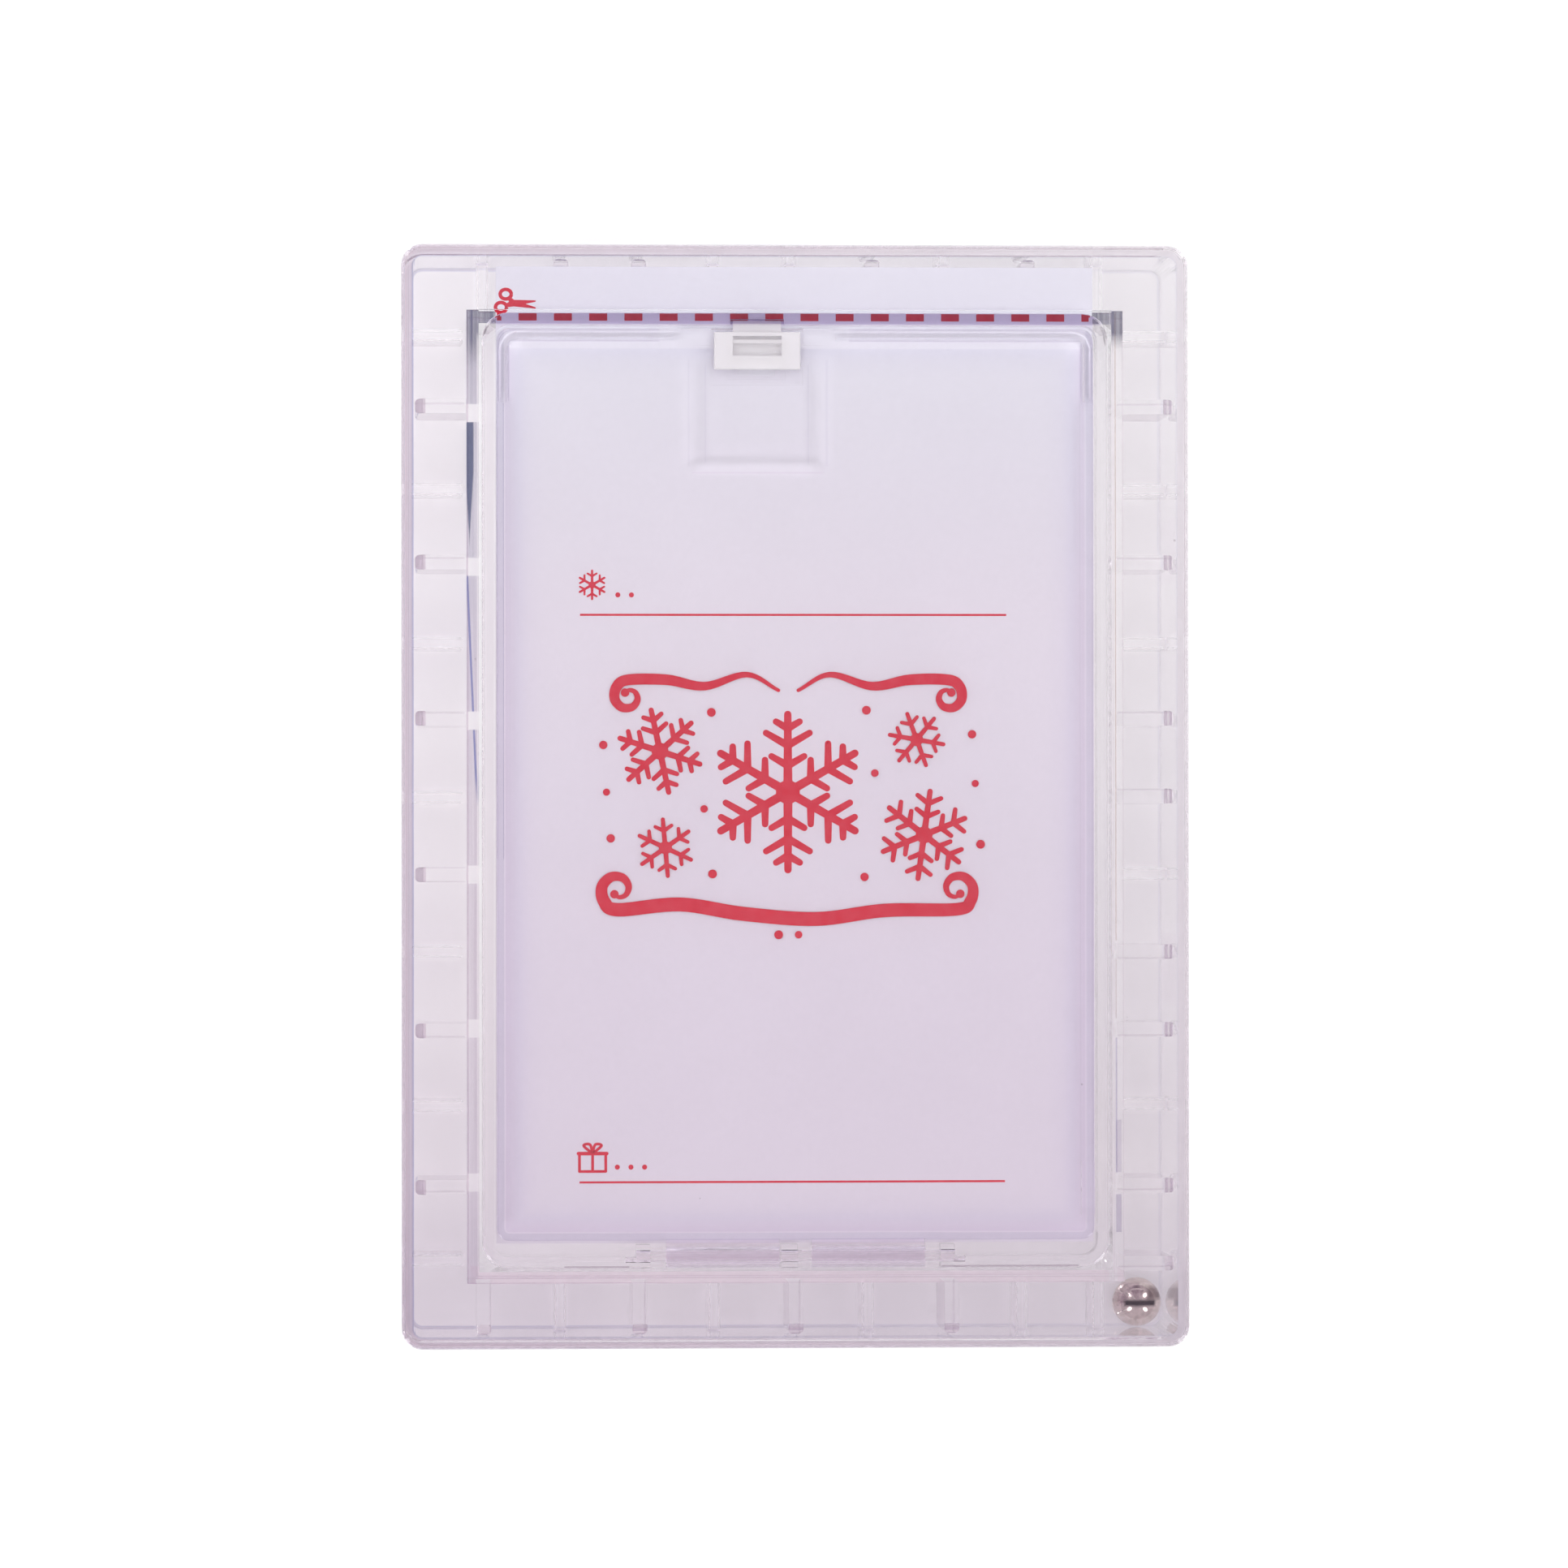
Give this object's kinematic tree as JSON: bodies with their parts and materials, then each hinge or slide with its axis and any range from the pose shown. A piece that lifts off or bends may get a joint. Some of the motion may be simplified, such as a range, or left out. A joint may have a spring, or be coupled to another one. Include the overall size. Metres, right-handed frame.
{
  "type": "gift card maze puzzle",
  "caption": "Clear rectangular puzzle box: a steel ball runs in a ribbed maze round a card compartment with a hinged, latched door and a paper gift tag.",
  "frame": {"origin": "centre of the flat back face, on which the box lies", "axes": "+X across the width, to the right as seen from the door side; +Y along the length, from the hinge to the latch; +Z out of the door side"},
  "size_m": [0.075, 0.105, 0.02],
  "materials": {
    "case_plastic": "clear glossy moulded plastic with a faint lavender tint",
    "tray_plastic": "clear glossy moulded plastic",
    "door_plastic": "clear glossy moulded plastic",
    "latch_plastic": "slightly milky translucent plastic",
    "tag_card": "smooth white card, printed in red",
    "ball_steel": "polished bearing steel"
  },
  "bodies": {
    "case": {"outer_case": "case_plastic", "maze_frame": "case_plastic", "card_tray": "tray_plastic", "hinge_pin": "tray_plastic", "gift_tag": "tag_card"},
    "door": {"card_door": "door_plastic"},
    "latch": {"latch": "latch_plastic"},
    "ball": {"maze_ball": "ball_steel"}
  },
  "joints": [
    {"name": "door_hinge", "type": "hinge", "parent": "case", "child": "door", "pos_m": [0, -0.04375, 0.0189], "axis": [1, 0, 0], "range_deg": [0, 105]},
    {"name": "latch_slide", "type": "slide", "parent": "door", "child": "latch", "axis": [0, -1, 0], "range_m": [0, 0.0012]},
    {"name": "ball_run", "type": "slide", "parent": "case", "child": "ball", "axis": [0, 1, 0], "range_m": [0, 0.016]}
  ]
}
